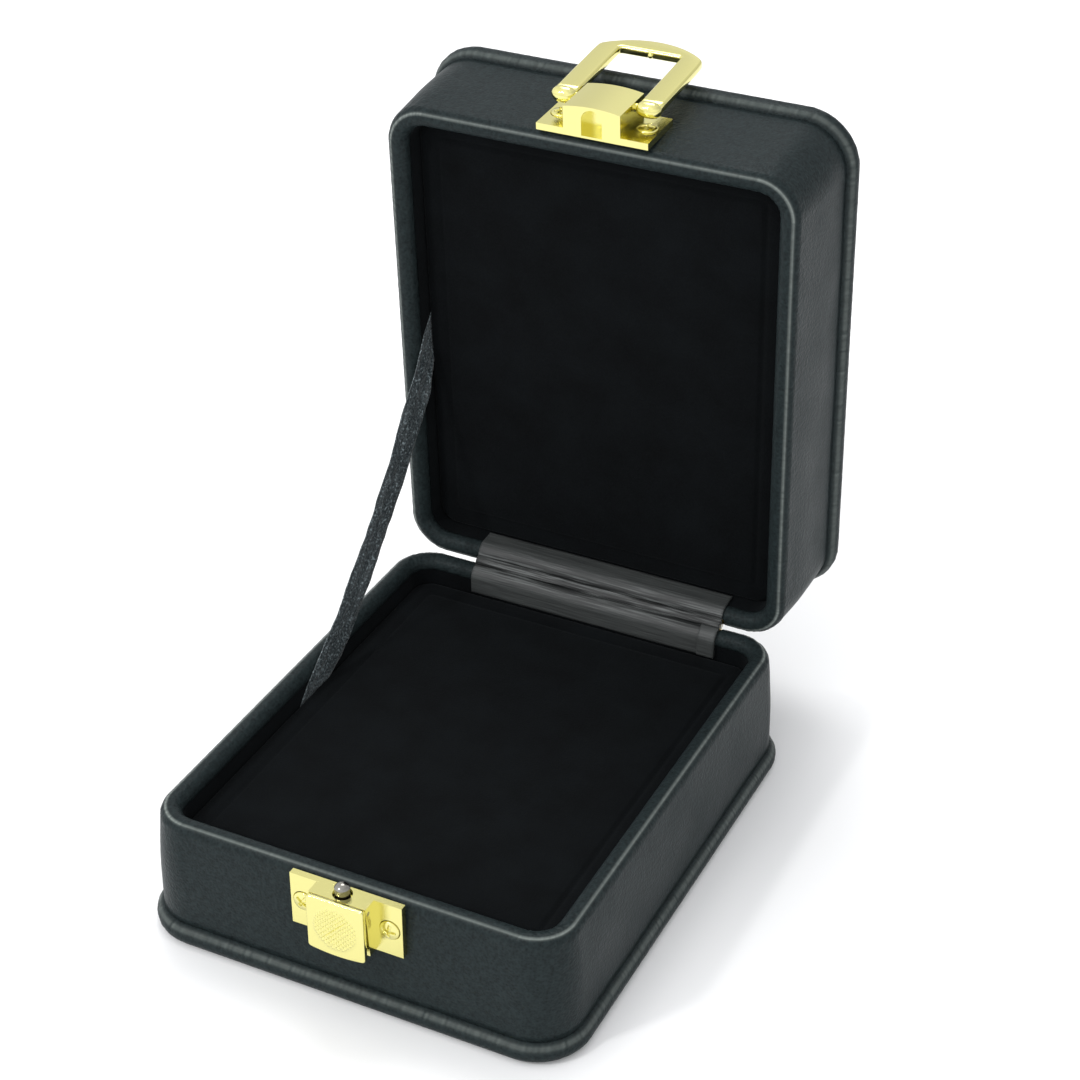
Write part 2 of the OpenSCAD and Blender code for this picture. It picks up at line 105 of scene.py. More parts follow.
def add(owner, kind, settings=None, inputs=None):
    """Adds a node to a material's or world's tree, with its settings and its values or links."""
    node = owner.node_tree.nodes.new(kind)
    for name, value in (settings or {}).items():
        setattr(node, name, value)
    for socket, value in (inputs or {}).items():
        if isinstance(value, bpy.types.NodeSocket):
            owner.node_tree.links.new(value, node.inputs[socket])
        else:
            node.inputs[socket].default_value = value
    return node


def new_material(name, colour, roughness, **shader):
    """A material with a Principled shader; the other sockets go by name, with _ for a space."""
    material = bpy.data.materials.new(name)
    material.use_nodes = True
    principled = material.node_tree.nodes["Principled BSDF"]
    principled.inputs["Base Color"].default_value = linear(colour)
    principled.inputs["Roughness"].default_value = roughness
    for socket, value in shader.items():
        principled.inputs[socket.replace("_", " ")].default_value = value
    return material, principled


world = bpy.data.worlds.new("white tent")
world.use_nodes = True
bpy.context.scene.world = world
tent = world.node_tree.nodes["Background"]
tent.inputs["Color"].default_value = linear("fcfdff")
# The tent glows more towards its front left, and unevenly, which metal shows in its reflections
tent_way = add(world, "ShaderNodeTexCoord").outputs["Generated"]
front_left = (-0.15, -0.28, 0.05)
lean = add(world, "ShaderNodeVectorMath", {"operation": "DOT_PRODUCT"}, {0: tent_way, 1: front_left})
folds = add(world, "ShaderNodeTexNoise", None, {"Vector": tent_way, "Scale": 2.2, "Detail": 1})
glow = add(world, "ShaderNodeMath", {"operation": "MULTIPLY_ADD"},
           {0: folds.outputs["Fac"], 1: 0.9, 2: lean.outputs["Value"]})
glow_level = add(world, "ShaderNodeMath", {"operation": "ADD"}, {0: glow.outputs[0], 1: 0.58})
world.node_tree.links.new(glow_level.outputs[0], tent.inputs["Strength"])
bpy.context.scene.view_settings.view_transform = "Standard"


def soft_lamp(name, place, size, watts):
    """A square lamp that faces the middle of the box."""
    lamp = bpy.data.objects.new(name, bpy.data.lights.new(name, "AREA"))
    bpy.context.scene.collection.objects.link(lamp)
    lamp.data.size = size
    lamp.data.energy = watts
    lamp.location = aim + Vector(place)
    lamp.rotation_mode = "QUATERNION"
    lamp.rotation_quaternion = (-Vector(place)).to_track_quat("-Z", "Y")


soft_lamp("lamp over the back", (-0.15, 0.30, 0.75), 0.35, 2)
soft_lamp("lamp in front at the left", (-0.30, -0.53, 0.52), 0.07, 1.4)

table, table_shader = new_material("white laminate table", "fafafa", 0.6, Specular_IOR_Level=0.2)
table_grain = add(table, "ShaderNodeTexNoise", inputs={"Scale": 400, "Detail": 3})
table_bump = add(table, "ShaderNodeBump", inputs={"Strength": 0.02, "Height": table_grain.outputs["Fac"]})
table.node_tree.links.new(table_bump.outputs["Normal"], table_shader.inputs["Normal"])
floor_mesh = bpy.data.meshes.new("table")
reach = 4
floor_mesh.from_pydata([(-reach, -reach, 0), (reach, -reach, 0), (reach, reach, 0), (-reach, reach, 0)],
                       [], [(0, 1, 2, 3)])
floor_mesh.materials.append(table)
floor = bpy.data.objects.new("table", floor_mesh)
bpy.context.scene.collection.objects.link(floor)
floor.location.z = cad_box[0].z


# ---- Leatherette on the walls ----
# Padded leatherette is glued up each wall, rolled over the foam bead on the rim and tucked
# in behind the velvet. The roll gathers into fine creases across the rim, mostly at corners.
leatherette, leather_shader = new_material(
    "black leatherette, embossed PU", "14191a", 0.4, IOR=1.5, Specular_IOR_Level=0.06)
# Embossed grain: pebbles of 0.45 mm, and a soft wave of 6 mm from the padding under it
leather_place = add(leatherette, "ShaderNodeTexCoord").outputs["Object"]
pebbles = add(leatherette, "ShaderNodeTexVoronoi", {"feature": "SMOOTH_F1"},
              {"Vector": leather_place, "Scale": 1 / (0.45 * MM), "Smoothness": 0.6})
pore = add(leatherette, "ShaderNodeTexNoise", None,
           {"Vector": leather_place, "Scale": 1 / (0.9 * MM), "Detail": 4, "Roughness": 0.6})
grain = add(leatherette, "ShaderNodeMath", {"operation": "MULTIPLY_ADD"},
            {0: pebbles.outputs["Distance"], 1: 0.6, 2: pore.outputs["Fac"]})
leather_bump = add(leatherette, "ShaderNodeBump", None,
                   {"Strength": 0.8, "Distance": 0.11 * MM, "Height": grain.outputs[0]})
# The valleys between the pebbles are coloured darker than the pebbles' tops
pebble_tone = add(leatherette, "ShaderNodeValToRGB", None, {"Fac": grain.outputs[0]})
pebble_tone.color_ramp.elements[0].position = 0.45
pebble_tone.color_ramp.elements[0].color = linear("1a1f20")
pebble_tone.color_ramp.elements[1].position = 1.0
pebble_tone.color_ramp.elements[1].color = linear("262e2f")
# A painted highlight: where it is stretched over a bead, a line of paler colour is painted on, broken by
# the fine creases
painted_light = add(leatherette, "ShaderNodeAttribute", {"attribute_name": "painted_light"}).outputs["Fac"]
painted_shine = add(leatherette, "ShaderNodeMix", {"data_type": "RGBA"},
            {"Factor": painted_light, 6: pebble_tone.outputs["Color"], 7: linear("868d89")})
leatherette.node_tree.links.new(painted_shine.outputs[2], leather_shader.inputs["Base Color"])
leatherette.node_tree.links.new(leather_bump.outputs["Normal"], leather_shader.inputs["Normal"])
# The satin varies with handling: a little duller and a little glossier in patches of 12 mm
patches = add(leatherette, "ShaderNodeTexNoise", None, {"Vector": leather_place, "Scale": 1 / (12 * MM)})
satin = add(leatherette, "ShaderNodeMapRange", None,
            {"Value": patches.outputs["Fac"], "From Min": 0.3, "From Max": 0.7,
             "To Min": 0.3, "To Max": 0.42})
leatherette.node_tree.links.new(satin.outputs[0], leather_shader.inputs["Roughness"])

wall_low, wall_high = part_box("base_wall_wrap")
half_wide = wall_high.x
half_deep = wall_high.y
foot_z = wall_low.z
crest_z = wall_high.z
corner_r = 8.4 * MM
wall_lean = 0.8 * MM
roll_r = 1.8 * MM
lip_in = 4.5 * MM
wrap_t = 0.8 * MM
wall_bulge = 0.3 * MM
crease_deep = 0.07 * MM
crease_wide = 1.1 * MM
streak_wide = 0.4 * MM
sag_deep = 0.09 * MM
wall_step = 0.4 * MM
board_step = 0.45 * MM
plate_low, plate_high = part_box("lock_body")
barrel_low, barrel_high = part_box("hinge_pin")
barrel_clear = 1.45 * MM
open_angle = math.radians(joints["lid_hinge"]["range_deg"][1])
# The lid is a second half, turned over the parting plane and opened about the hinge
to_lid = (Matrix.Translation(hinge) @ Matrix.Rotation(-open_angle, 4, "X")
          @ Matrix.Scale(-1, 4, (0, 0, 1)) @ Matrix.Translation(-hinge))


def foot_line(spacing, wide=half_wide, deep=half_deep, radius=corner_r):
    """Points [x, y, outward x, outward y, length so far] round a half, from the front's middle."""
    line = []
    for turn, along, far in ((-90, wide, deep), (0, deep, wide), (90, wide, deep), (180, deep, wide)):
        out = np.array([math.cos(math.radians(turn)), math.sin(math.radians(turn))])
        side = np.array([-out[1], out[0]])
        run = along - radius
        for t in np.linspace(-run, run, max(2, round(2 * run / spacing)), endpoint=False):
            line.append([*(out * far + side * t), *out])
        centre = out * (far - radius) + side * run
        arc_steps = max(4, round(radius * 1.57 / spacing))
        for a in np.radians(np.linspace(turn, turn + 90, arc_steps, endpoint=False)):
            way = np.array([math.cos(a), math.sin(a)])
            line.append([*(centre + way * radius), *way])
    line = np.array(line)
    steps = np.hypot(*(np.roll(line[:, :2], -1, axis=0) - line[:, :2]).T)
    return np.column_stack([line, np.concatenate([[0], np.cumsum(steps)[:-1]])])


def arc(centre_u, centre_z, radius, start, stop, count):
    """Points of a section's round stretch, as [how far out, height]."""
    return [[centre_u + radius * math.cos(math.radians(a)), centre_z + radius * math.sin(math.radians(a))]
            for a in np.linspace(start, stop, count)]


def creases(lengths, across, seed, wide):
    """Fine creases that run across the rim: from -1 to 1 along the length of the path."""
    return np.array([[noise.noise(Vector((s / wide, v * 0.35, seed)))
                      + 0.5 * noise.noise(Vector((s / wide * 2.3, v * 0.7, seed + 9)))
                      for v in across] for s in lengths])


def skin(name, points, material, lid=False, closed=True, first_cap=False, last_cap=False, painted_light=None):
    """Mesh of quads through a grid of points [along the path, along the section]."""
    count, rows = points.shape[:2]
    co = points.reshape(-1, 3)
    if lid:
        co = co @ np.array(to_lid.to_3x3()).T + np.array(to_lid.translation)
    faces = [(i * rows + j, (i + 1) % count * rows + j, (i + 1) % count * rows + j + 1, i * rows + j + 1)
             for i in range(count if closed else count - 1) for j in range(rows - 1)]
    if first_cap:
        faces.append(tuple(i * rows for i in reversed(range(count))))
    if last_cap:
        faces.append(tuple(i * rows + rows - 1 for i in range(count)))
    mesh = bpy.data.meshes.new(name)
    mesh.from_pydata(co.tolist(), [], [f[::-1] for f in faces] if lid else faces)
    mesh.materials.append(material)
    mesh.shade_smooth()
    if painted_light is not None:
        mesh.attributes.new("painted_light", "FLOAT", "POINT").data.foreach_set("value", painted_light.ravel())
    piece = bpy.data.objects.new(name, mesh)
    bpy.context.scene.collection.objects.link(piece)
    return piece


def join(name, pieces):
    """Makes one piece of several."""
    with bpy.context.temp_override(active_object=pieces[0], selected_editable_objects=pieces):
        bpy.ops.object.join()
    pieces[0].name = name
    return pieces[0]


def thicken(piece, thickness):
    """Gives a skin its real thickness, inwards."""
    solid = piece.modifiers.new("thickness", "SOLIDIFY")
    solid.thickness = thickness
    solid.offset = -1


def swept(line, section):
    """Carries a section [how far out, height] round the path."""
    u, z = section[:, 0], section[:, 1]
    return np.stack([line[:, 0:1] + line[:, 2:3] * u, line[:, 1:2] + line[:, 3:4] * u,
                     np.broadcast_to(z, (len(line), len(z)))], axis=2)


def corner_share(line):
    """1 on the corners' arcs, 0 on the straight sides."""
    return (np.minimum(abs(line[:, 2]), abs(line[:, 3])) > 0.02).astype(float)


def clear_of_hardware(points):
    """Presses the leatherette in behind the lock's plate, and out of the hinge barrel's way."""
    x, y, z = points[..., 0], points[..., 1], points[..., 2]
    plate_half = (plate_high.x - plate_low.x) / 2
    from_middle = abs(x - (plate_low.x + plate_high.x) / 2)
    under = np.clip(plate_half + MM - from_middle, 0, MM) / MM
    under = under * np.clip(z - plate_low.z + MM, 0, MM) / MM * (y < 0)
    proud = np.clip(plate_high.y + 0.02 * MM - y, 0, None)
    points[..., 1] += proud * under
    dy, dz = y - hinge.y, z - hinge.z
    away = np.hypot(dy, dz)
    inside = (away < barrel_clear) & (x > barrel_low.x - 0.3 * MM) & (x < barrel_high.x + 0.3 * MM)
    push = np.where(inside, barrel_clear / np.maximum(away, 1e-6), 1)
    points[..., 1] = hinge.y + (points[..., 1] - hinge.y) * np.where(y > 0, push, 1)
    points[..., 2] = np.where(y > 0, hinge.z + dz * push, z)
    return points


wall_rise = np.linspace(0, 1, 16)
outer_rows = 13
inner_rows = 9
shine_at = 62
shine_wide = 7
wall_section = np.array(
    [[wall_bulge * math.sin(math.pi * t) - wall_lean * t, foot_z + (crest_z - roll_r - foot_z) * t]
     for t in wall_rise[:-1]]
    + arc(-wall_lean - roll_r, crest_z - roll_r, roll_r, 0, 90, outer_rows)
    + arc(roll_r - lip_in, crest_z - roll_r, roll_r, 90, 180, inner_rows)
    + [[-lip_in, crest_z - roll_r - 0.5 * MM]])
# how far round the roll each row of the section lies, in degrees from the wall
shoulder = np.concatenate([np.full(len(wall_rise) - 1, -90), np.linspace(0, 90, outer_rows),
                           np.linspace(90, 180, inner_rows), [180]])
for half, lid in (("base", False), ("lid", True)):
    line = foot_line(wall_step)
    points = swept(line, wall_section)
    height = wall_section[:, 1]
    # creases are deepest on the roll, and die out 4 mm down the wall and inside the lip
    on_roll = np.clip((height - (crest_z - 5.5 * MM)) / (4 * MM), 0, 1)
    on_roll[-4:] *= 0.3
    share = on_roll[None, :] * (0.55 + 0.9 * corner_share(line)[:, None])
    seed = 3 if lid else 17
    dent = crease_deep * share * creases(line[:, 4], np.arange(len(height)), seed, crease_wide)
    sag = sag_deep * np.array([[noise.noise(Vector((s / (14 * MM), h / (7 * MM), seed + 40)))
                                 for h in height] for s in line[:, 4]])
    sag *= np.clip((crest_z - roll_r - height) / (4 * MM), 0, 1)
    tangent = np.gradient(wall_section, axis=0)
    normal = np.stack([tangent[:, 1], -tangent[:, 0]], axis=1)
    normal /= np.linalg.norm(normal, axis=1)[:, None]
    out = (dent + sag) * normal[None, :, 0]
    points[..., 0] += line[:, 2:3] * out
    points[..., 1] += line[:, 3:4] * out
    points[..., 2] += (dent + sag) * normal[None, :, 1]
    # the painted highlight lies along the roll's outer shoulder, and comes and goes with the creases
    bead = np.exp(-((shoulder - shine_at) / shine_wide) ** 2)
    streak = creases(line[:, 4], np.zeros(1), seed + 70, streak_wide)
    painted_highlight_share = np.clip(bead[None, :] * (0.75 + 0.5 * streak), 0, 1)
    painted_highlight_share *= (0.7 + 0.3 * corner_share(line))[:, None]
    wrap = skin(half + "_wall_leatherette", clear_of_hardware(points), leatherette, lid, painted_light=painted_highlight_share)
    thicken(wrap, wrap_t)
    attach(wrap, half)
    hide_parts(half + "_wall_wrap")

# ---- Leatherette on the boards ----
# Each board is wrapped in the same leatherette over thin foam, so its edge is a soft round
# bead, gathered at the corners. The lid's outer face has a slight crown; the base's is flat.
board_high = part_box("base_board_cover")[1]
board_over = board_high.x - half_wide
board_t = board_high.z
edge_r = board_t / 2
return_in = 4.5 * MM
cover_t = 0.6 * MM
lid_crown = 0.7 * MM
face_rings = (0.03, 0.2, 0.4, 0.6, 0.75, 0.87, 0.95)
edge_rows = 17
edge_turn = np.radians(np.linspace(-90, 90, edge_rows))
edge_section = np.array(arc(board_over - edge_r, edge_r, edge_r, -90, 90, edge_rows)
                        + [[board_over - edge_r - return_in * t, board_t] for t in (0.3, 0.6, 1)])
for half, lid in (("base", False), ("lid", True)):
    line = foot_line(board_step)
    edge = swept(line, edge_section)
    row = np.arange(len(edge_section))
    lump = np.clip(np.sin(np.pi * row / edge_rows), 0, 1) * (row > 5)
    dent = crease_deep * creases(line[:, 4], row, 60 + lid * 7, crease_wide)
    dent *= lump[None, :] * (0.5 + 0.8 * corner_share(line)[:, None])
    out = np.concatenate([np.cos(edge_turn), [0, 0, 0]])
    rise = np.concatenate([np.sin(edge_turn), [1, 1, 1]])
    edge[..., 0] += line[:, 2:3] * dent * out
    edge[..., 1] += line[:, 3:4] * dent * out
    edge[..., 2] += dent * rise
    crown = lid_crown if lid else 0
    rings = []
    for share in face_rings:
        ring = edge[:, 0, :] * [share, share, 1]
        ring[:, 2] -= crown * (1 - (ring[:, 0] / half_wide) ** 2) * (1 - (ring[:, 1] / half_deep) ** 2)
        rings.append(ring)
    # a painted highlight runs along the upper shoulder of the round edge, broken by the creases
    streak = creases(line[:, 4], np.zeros(1), 80 + lid, streak_wide)
    round_edge = np.concatenate([np.full(len(face_rings), -200), np.degrees(edge_turn), [150, 200, 200]])
    painted_highlight_share = np.exp(-((round_edge - 40) / 13) ** 2)[None, :] * np.clip(0.3 + 0.25 * streak, 0, 1)
    cover = skin(half + "_board_leatherette", np.concatenate([np.stack(rings, axis=1), edge], axis=1),
                 leatherette, lid, first_cap=True, painted_light=painted_highlight_share)
    thicken(cover, cover_t)
    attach(cover, half)
    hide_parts(half + "_board_cover")

# ---- Carcass, boards, foam and card ----
# Inside the coverings: a moulded ABS carcass, pressed board, card, and white foam beads and
# pads. They are seen only when the box is taken apart.
moulded, moulded_shader = new_material("black ABS, moulded", "131314", 0.5)
greyboard, board_shader = new_material("greyboard, pressed", "8d8375", 0.85)
foam, foam_shader = new_material("white PE foam", "dcdcd6", 0.9)
for material, shader, size, depth in ((moulded, moulded_shader, 0.3, 0.01),
                                      (greyboard, board_shader, 0.8, 0.05),
                                      (foam, foam_shader, 0.7, 0.08)):
    speck = add(material, "ShaderNodeTexNoise", None, {"Scale": 1 / (size * MM), "Detail": 5})
    bump = add(material, "ShaderNodeBump", None,
               {"Strength": 0.4, "Distance": depth * MM, "Height": speck.outputs["Fac"]})
    material.node_tree.links.new(bump.outputs["Normal"], shader.inputs["Normal"])


def finish_node(node, material):
    """Gives a CAD piece its material."""
    mesh = frame["nodes"][node].data
    mesh.materials.clear()
    mesh.materials.append(material)


for half in ("base", "lid"):
    finish_node(half + "_carcass", moulded)
    finish_node(half + "_board", greyboard)
    finish_node(half + "_insert_card", greyboard)
    finish_node(half + "_rim_bead", foam)
    finish_node(half + "_insert_foam", foam)

# ---- Velvet pads and side linings ----
# Black flocked velvet is wrapped over a foam pad on card, which is pushed in between the
# velvet side linings. The pile swallows light, but for a faint sheen where it turns away.
velvet, velvet_shader = new_material("black velvet, short pile", "060708", 0.95, Specular_IOR_Level=0.08)
velvet_shader.inputs["Sheen Weight"].default_value = 0.06
velvet_shader.inputs["Sheen Roughness"].default_value = 0.45
velvet_shader.inputs["Sheen Tint"].default_value = linear("aab4b8")
velvet_place = add(velvet, "ShaderNodeTexCoord").outputs["Object"]
# Pile lies in patches of about 9 mm, where it was brushed; single tufts are drawn at 0.3 mm
brushed = add(velvet, "ShaderNodeTexNoise", None,
              {"Vector": velvet_place, "Scale": 1 / (9 * MM), "Detail": 3, "Roughness": 0.55})
tufts = add(velvet, "ShaderNodeTexNoise", None,
            {"Vector": velvet_place, "Scale": 1 / (0.3 * MM), "Detail": 2})
pile = add(velvet, "ShaderNodeMath", {"operation": "MULTIPLY_ADD"},
           {0: tufts.outputs["Fac"], 1: 0.5, 2: brushed.outputs["Fac"]})
pile_tone = add(velvet, "ShaderNodeValToRGB", None, {"Fac": pile.outputs[0]})
pile_tone.color_ramp.elements[0].position = 0.45
pile_tone.color_ramp.elements[0].color = linear("040506")
pile_tone.color_ramp.elements[1].position = 1.0
pile_tone.color_ramp.elements[1].color = linear("0a0d0f")
velvet.node_tree.links.new(pile_tone.outputs["Color"], velvet_shader.inputs["Base Color"])
pile_bump = add(velvet, "ShaderNodeBump", None,
                {"Strength": 0.6, "Distance": 0.12 * MM, "Height": tufts.outputs["Fac"]})
velvet.node_tree.links.new(pile_bump.outputs["Normal"], velvet_shader.inputs["Normal"])

pad_low, pad_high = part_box("base_insert_velvet")
pad_in = half_wide - pad_high.x
edge_round = 0.9 * MM
border = 3.7 * MM
border_dip = 0.35 * MM
ribbon_low, ribbon_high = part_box("ribbon_stay")
ribbon_y = 2 * MM
ribbon_slot = 7.5 * MM
pad_rings = (0.02, 0.15, 0.3, 0.45, 0.6, 0.72, 0.82, 0.89, 0.95)
# from the pad's flat top, over the crease at its border, round the edge and down the side
pad_section = np.array(
    [[-pad_in - border - 0.9 * MM, pad_high.z], [-pad_in - border - 0.45 * MM, pad_high.z - 0.04 * MM],
     [-pad_in - border, pad_high.z - border_dip], [-pad_in - border + 0.45 * MM, pad_high.z - 0.12 * MM],
     [-pad_in - border + 1.2 * MM, pad_high.z - 0.05 * MM],
     [-pad_in - border + 2.2 * MM, pad_high.z - 0.08 * MM]]
    + arc(-pad_in - edge_round, pad_high.z - 0.1 * MM - edge_round, edge_round, 90, 0, 6)
    + [[-pad_in, pad_high.z - 0.1 * MM - edge_round - (pad_high.z - 1.3 * MM - edge_round - pad_low.z) * t]
       for t in (0.33, 0.66, 1)])
for half, lid in (("base", False), ("lid", True)):
    line = foot_line(1.0 * MM)
    # insets deeper than a corner's radius are taken by scaling, so that corners stay clean
    inset = -pad_section[:, 0]
    kept = np.minimum(inset, corner_r - 1.2 * MM)
    side = swept(line, np.stack([-kept, pad_section[:, 1]], axis=1))
    side[..., 0] *= (half_wide - inset) / (half_wide - kept)
    side[..., 1] *= (half_deep - inset) / (half_deep - kept)
    rings = []
    for share in pad_rings:
        ring = side[:, 0, :] * [share, share, 1]
        ring[:, 2] += (0.4 * MM * (1 - (ring[:, 0] / (half_wide - pad_in - border)) ** 2)
                       * (1 - (ring[:, 1] / (half_deep - pad_in - border)) ** 2))
        rings.append(ring)
    points = np.concatenate([np.stack(rings, axis=1), side], axis=1)
    # the ribbon goes down between the pad and the side lining
    at_ribbon = (abs(points[..., 1] - ribbon_y) < ribbon_slot) & (points[..., 0] < 0)
    past_ribbon = np.maximum(points[..., 0], ribbon_high.x + 0.06 * MM)
    points[..., 0] = np.where(at_ribbon, past_ribbon, points[..., 0])
    pad = skin(half + "_velvet_pad", points[:, ::-1, :], velvet, lid, first_cap=True, last_cap=True)
    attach(pad, half)
    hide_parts(half + "_insert_velvet")
    finish_node(half + "_liner", velvet)

# ---- Hinge ----
# A plated steel piano hinge: two leaves let into the backs of the carcasses, five rolled
# knuckles and a steel pin. Only the knuckles show, from behind.
hinge_plate, hinge_shader = new_material("steel, yellow plated", "c9b36a", 0.3, Metallic=1.0)
steel, steel_shader = new_material("steel, turned and polished", "8f8d86", 0.2, Metallic=1.0)
for material, shader, low, high in ((hinge_plate, hinge_shader, 0.24, 0.4),
                                    (steel, steel_shader, 0.14, 0.28)):
    smear = add(material, "ShaderNodeTexNoise", None, {"Scale": 1 / (1.5 * MM), "Detail": 4})
    dull = add(material, "ShaderNodeMapRange", None,
               {"Value": smear.outputs["Fac"], "To Min": low, "To Max": high})
    material.node_tree.links.new(dull.outputs[0], shader.inputs["Roughness"])
for node in ("hinge_base_leaf", "hinge_lid_leaf"):
    finish_node(node, hinge_plate)
finish_node("hinge_pin", steel)

# ---- Strip over the hinge ----
# Thin leatherette, unlined, glued over both rims to hide the hinge. It folds each time the
# lid moves, so its valley is set in long fine creases. A small patch hems its right end.
strip_leather, strip_shader = new_material("thin leatherette, worn", "5c5e5e", 0.5, IOR=1.5)
strip_place = add(strip_leather, "ShaderNodeTexCoord").outputs["Object"]
# Fine lines along the fold, drawn 9 mm long and 0.28 mm apart, with painted shade and highlight: the lines
# are faint on the bands that are glued down, and in the valley between it is painted dark with pale
# painted highlights along the creases
stretched = add(strip_leather, "ShaderNodeMapping", None,
                {"Vector": strip_place, "Scale": (1 / (9 * MM), 1 / (0.28 * MM), 1 / (0.28 * MM))})
lines = add(strip_leather, "ShaderNodeTexNoise", None,
            {"Vector": stretched.outputs[0], "Scale": 1, "Detail": 4})
line_bump = add(strip_leather, "ShaderNodeBump", None,
                {"Strength": 0.6, "Distance": 0.12 * MM, "Height": lines.outputs["Fac"]})
strip_leather.node_tree.links.new(line_bump.outputs["Normal"], strip_shader.inputs["Normal"])
band_tone = add(strip_leather, "ShaderNodeValToRGB", None, {"Fac": lines.outputs["Fac"]})
band_tone.color_ramp.elements[0].position = 0.3
band_tone.color_ramp.elements[0].color = linear("2b2d2d")
band_tone.color_ramp.elements[1].position = 0.7
band_tone.color_ramp.elements[1].color = linear("464948")
valley_painted_shade_and_highlight = add(strip_leather, "ShaderNodeValToRGB", None, {"Fac": lines.outputs["Fac"]})
valley_painted_shade_and_highlight.color_ramp.elements[0].position = 0.48
valley_painted_shade_and_highlight.color_ramp.elements[0].color = linear("0e1010")
valley_painted_shade_and_highlight.color_ramp.elements[1].position = 0.66
valley_painted_shade_and_highlight.color_ramp.elements[1].color = linear("5c5f5e")
# painted shade and highlight: the valley is painted dark, with pale lines along its creases
painted_valley_share = add(strip_leather, "ShaderNodeAttribute", {"attribute_name": "painted_light"}).outputs["Fac"]
strip_tone = add(strip_leather, "ShaderNodeMix", {"data_type": "RGBA"},
                 {"Factor": painted_valley_share, 6: band_tone.outputs["Color"], 7: valley_painted_shade_and_highlight.outputs["Color"]})
strip_leather.node_tree.links.new(strip_tone.outputs[2], strip_shader.inputs["Base Color"])

strip_low, strip_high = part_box("hinge_strip")
strip_t = 0.4 * MM
strip_half_deep = hinge.y - (half_deep - lip_in)
strip_far = strip_half_deep + 0.05 * MM + strip_t
roll_back = strip_half_deep - roll_r
drop_roll = hinge.z - crest_z + roll_r
over_roll = roll_r + 0.05 * MM + strip_t
valley_r = 1.15 * MM + strip_t
strip_drop = hinge.z - strip_low.z
# half of the section about the hinge line, as [how far in front of it, how far above it]
half_strip = ([[strip_far, -strip_drop + (strip_drop - drop_roll) * t] for t in np.linspace(0, 1, 9)[:-1]]
              + arc(roll_back, -drop_roll, over_roll, 0, 92, 12))
half_strip += [[valley_r * math.cos(math.radians(a)), valley_r * math.sin(math.radians(a))]
               for a in np.linspace(12, 43.5, 7)]
half_strip = np.array(half_strip)
mirrored = half_strip[::-1][1:] * [1, -1]
# the lid's half: mirrored over the parting plane, then turned with the lid; y points forwards here
cos_open = math.cos(open_angle)
sin_open = math.sin(open_angle)
lid_strip = np.stack([mirrored[:, 0] * cos_open - mirrored[:, 1] * sin_open,
                      mirrored[:, 0] * sin_open + mirrored[:, 1] * cos_open], axis=1)
strip_section = np.concatenate([half_strip, lid_strip])
strip_steps = 120
xs = np.linspace(strip_low.x, strip_high.x, strip_steps + 1)
tangent = np.gradient(strip_section, axis=0)
out = np.stack([tangent[:, 1], -tangent[:, 0]], axis=1)
out /= np.linalg.norm(out, axis=1)[:, None]
lengths = np.concatenate([[0], np.cumsum(np.linalg.norm(np.diff(strip_section, axis=0), axis=1))])
middle = len(half_strip) - 1
in_valley = np.clip(1 - abs(lengths - lengths[middle]) / (4.5 * MM), 0, 1)
fold = np.array([[noise.noise(Vector((x / (16 * MM), s / (0.55 * MM), 21)))
                  + 0.6 * noise.noise(Vector((x / (5 * MM), s / (0.3 * MM), 33)))
                  for s in lengths] for x in xs])
fold *= 0.13 * MM * (0.1 + 0.9 * in_valley)[None, :]
points = np.stack([np.broadcast_to(xs[:, None], fold.shape),
                   hinge.y - strip_section[None, :, 0] - fold * out[None, :, 0],
                   hinge.z + strip_section[None, :, 1] + fold * out[None, :, 1]], axis=2)
# the valley's share is stored on the strip for the painted crease shade and highlights
strip = skin("strip_over_hinge", points, strip_leather, closed=False,
             painted_light=np.broadcast_to(np.clip(1.6 * in_valley, 0, 1), fold.shape).copy())
# the hem at the right end is folded back over the base's side
hem_wide = 3.4 * MM
at_hem = xs > strip_high.x - hem_wide
hem_proud = 0.3 * MM
hem_rows = len(half_strip) - 8
hem_points = points[at_hem][:, :hem_rows].copy()
hem_points[..., 1] -= hem_proud * out[None, :hem_rows, 0]
hem_points[..., 2] += hem_proud * out[None, :hem_rows, 1]
hem = skin("hem", hem_points, strip_leather, closed=False)
strip = join("strip_over_hinge", [strip, hem])
thicken(strip, strip_t)
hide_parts("hinge_strip")
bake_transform(strip)

# ---- Ribbon stay ----
# A black satin ribbon holds the lid upright. Both ends are glued down behind the pads, and
# it hangs a little slack, with its weave gathered into long wrinkles.
satin_ribbon, ribbon_shader = new_material("black satin ribbon", "343d40", 0.3, Specular_IOR_Level=0.6)
ribbon_shader.inputs["Sheen Weight"].default_value = 0.2
ribbon_place = add(satin_ribbon, "ShaderNodeTexCoord").outputs["Object"]
# Satin threads, drawn 0.4 mm apart, and painted glints: the highest threads are coloured pale
thread = add(satin_ribbon, "ShaderNodeTexNoise", None,
             {"Vector": ribbon_place, "Scale": 1 / (0.4 * MM), "Detail": 3})
glint = add(satin_ribbon, "ShaderNodeMapRange", None,
            {"Value": thread.outputs["Fac"], "From Min": 0.35, "From Max": 0.65,
             "To Min": 0.2, "To Max": 0.55})
satin_ribbon.node_tree.links.new(glint.outputs[0], ribbon_shader.inputs["Roughness"])
